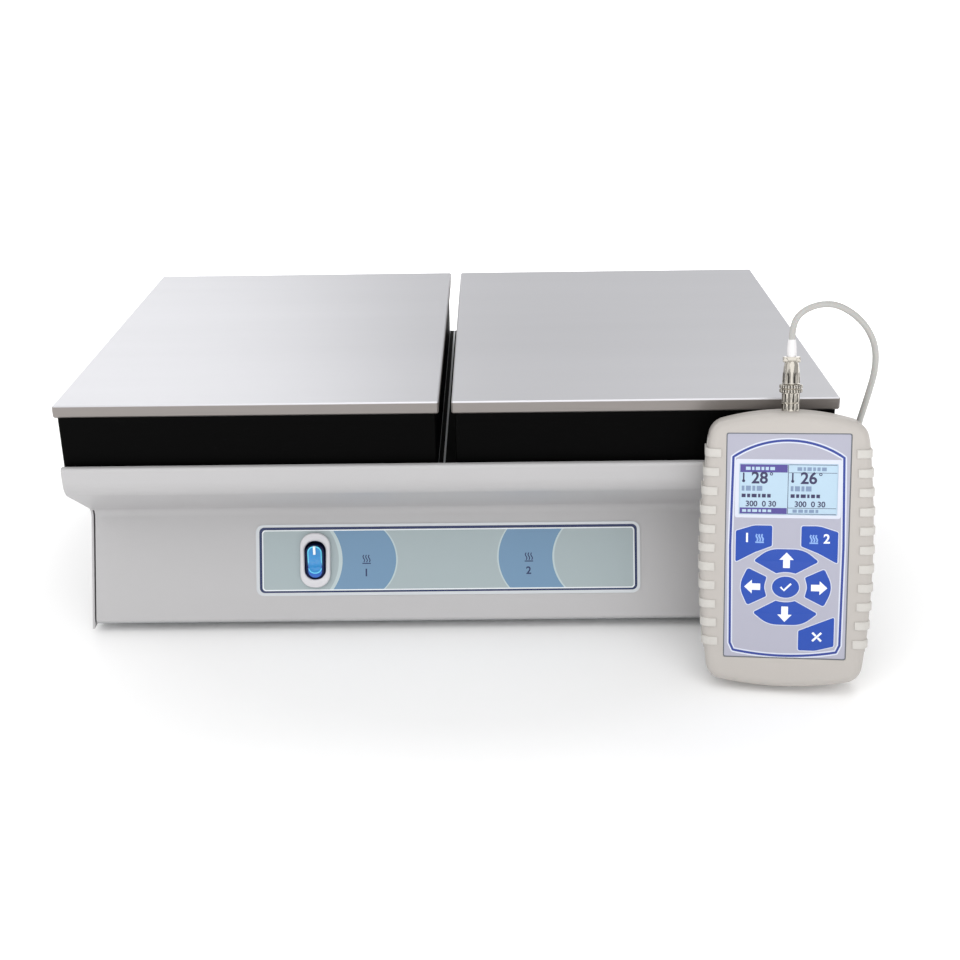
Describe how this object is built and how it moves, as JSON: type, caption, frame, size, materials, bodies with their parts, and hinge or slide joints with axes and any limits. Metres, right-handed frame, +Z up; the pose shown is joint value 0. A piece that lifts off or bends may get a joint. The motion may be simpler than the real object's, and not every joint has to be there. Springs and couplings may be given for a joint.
{
  "type": "laboratory hot plate",
  "caption": "Bench hot plate with side-by-side rectangular heating plates on a shared low casing, rocker switch on an inclined front panel and a wired keypad controller leaning on the front.",
  "frame": {"origin": "bench level at the middle of the footprint of everything but the controller's cable and its plugs", "axes": "+X to the right when facing the control panel, +Y to the back, +Z up"},
  "size_m": [0.4458, 0.4204, 0.2027],
  "materials": {
    "plate_metal": "finely ground flat face with a satin sheen, milled edge",
    "skirt_paint": "gloss black",
    "casing_paint": "light grey, fine satin powder coat",
    "zinc_sheet": "plain zinc-plated sheet",
    "heater_steel": "plain",
    "mineral_wool": "fibrous board",
    "steel": "zinc plated",
    "spacer_ceramic": "unglazed ceramic, off-white",
    "foot_rubber": "matt black",
    "black_plastic": "fine-grained black",
    "nickel": "bright nickel",
    "brass": "plain",
    "label_foil": "blue-grey printed film, satin",
    "bezel_plastic": "white, with a dark navy well",
    "rocker_plastic": "bright blue, translucent, with a white mark",
    "circuit_board": "solder-masked laminate",
    "green_plastic": "plain",
    "white_plastic": "plain",
    "bare_aluminium": "extruded",
    "controller_plastic": "warm light grey, fine grain",
    "grip_rubber": "paler soft grey",
    "key_film": "printed membrane film, grey-blue with blue key fields",
    "display_glass": "pale display behind a clear window",
    "cable_jacket": "smooth light grey jacket"
  },
  "bodies": {
    "hot_plate": {"base_pan": "zinc_sheet", "board_supports": "white_plastic", "cable_coil": "cable_jacket", "cable_front": "cable_jacket", "cable_rear": "cable_jacket", "casing_screws": "steel", "control_label": "label_foil", "controller_back_shell": "controller_plastic", "controller_board": "circuit_board", "controller_display": "display_glass", "controller_front_shell": "controller_plastic", "controller_keypad": "key_film", "controller_left_grip": "grip_rubber", "controller_plug_ring": "nickel", "controller_plug_shell": "nickel", "controller_plug_sleeve": "cable_jacket", "controller_port": "nickel", "controller_right_grip": "grip_rubber", "controller_screws": "steel", "controller_socket": "nickel", "deck_plate": "zinc_sheet", "earth_nut": "brass", "earth_stud": "brass", "front_apron": "casing_paint", "fuse_caps": "black_plastic", "fuse_holders": "black_plastic", "inlet_pins": "nickel", "inlet_screws": "steel", "left_clamp_plate": "heater_steel", "left_heating_element": "heater_steel", "left_heating_plate": "plate_metal", "left_insulation": "mineral_wool", "left_side_panel": "casing_paint", "left_skirt": "skirt_paint", "mains_inlet": "black_plastic", "plate_spacers": "spacer_ceramic", "plate_studs": "steel", "port_nut": "nickel", "power_board": "circuit_board", "power_supply": "white_plastic", "rear_panel": "casing_paint", "rear_plug_ring": "nickel", "rear_plug_shell": "nickel", "rear_plug_sleeve": "cable_jacket", "relay_heat_sink": "bare_aluminium", "right_clamp_plate": "heater_steel", "right_heating_element": "heater_steel", "right_heating_plate": "plate_metal", "right_insulation": "mineral_wool", "right_side_panel": "casing_paint", "right_skirt": "skirt_paint", "rubber_feet": "foot_rubber", "solid_state_relays": "black_plastic", "stud_nuts": "steel", "switch_bezel": "bezel_plastic", "switch_terminals": "brass", "temperature_probes": "heater_steel", "terminal_block": "green_plastic", "thermal_cutouts": "heater_steel"},
    "rocker": {"switch_rocker": "rocker_plastic"}
  },
  "joints": [
    {"name": "rocker_tilt", "type": "hinge", "parent": "hot_plate", "child": "rocker", "pos_m": [-0.08694, -0.08787, 0.03992], "axis": [-1, 0, 0], "range_deg": [0, 22]}
  ]
}
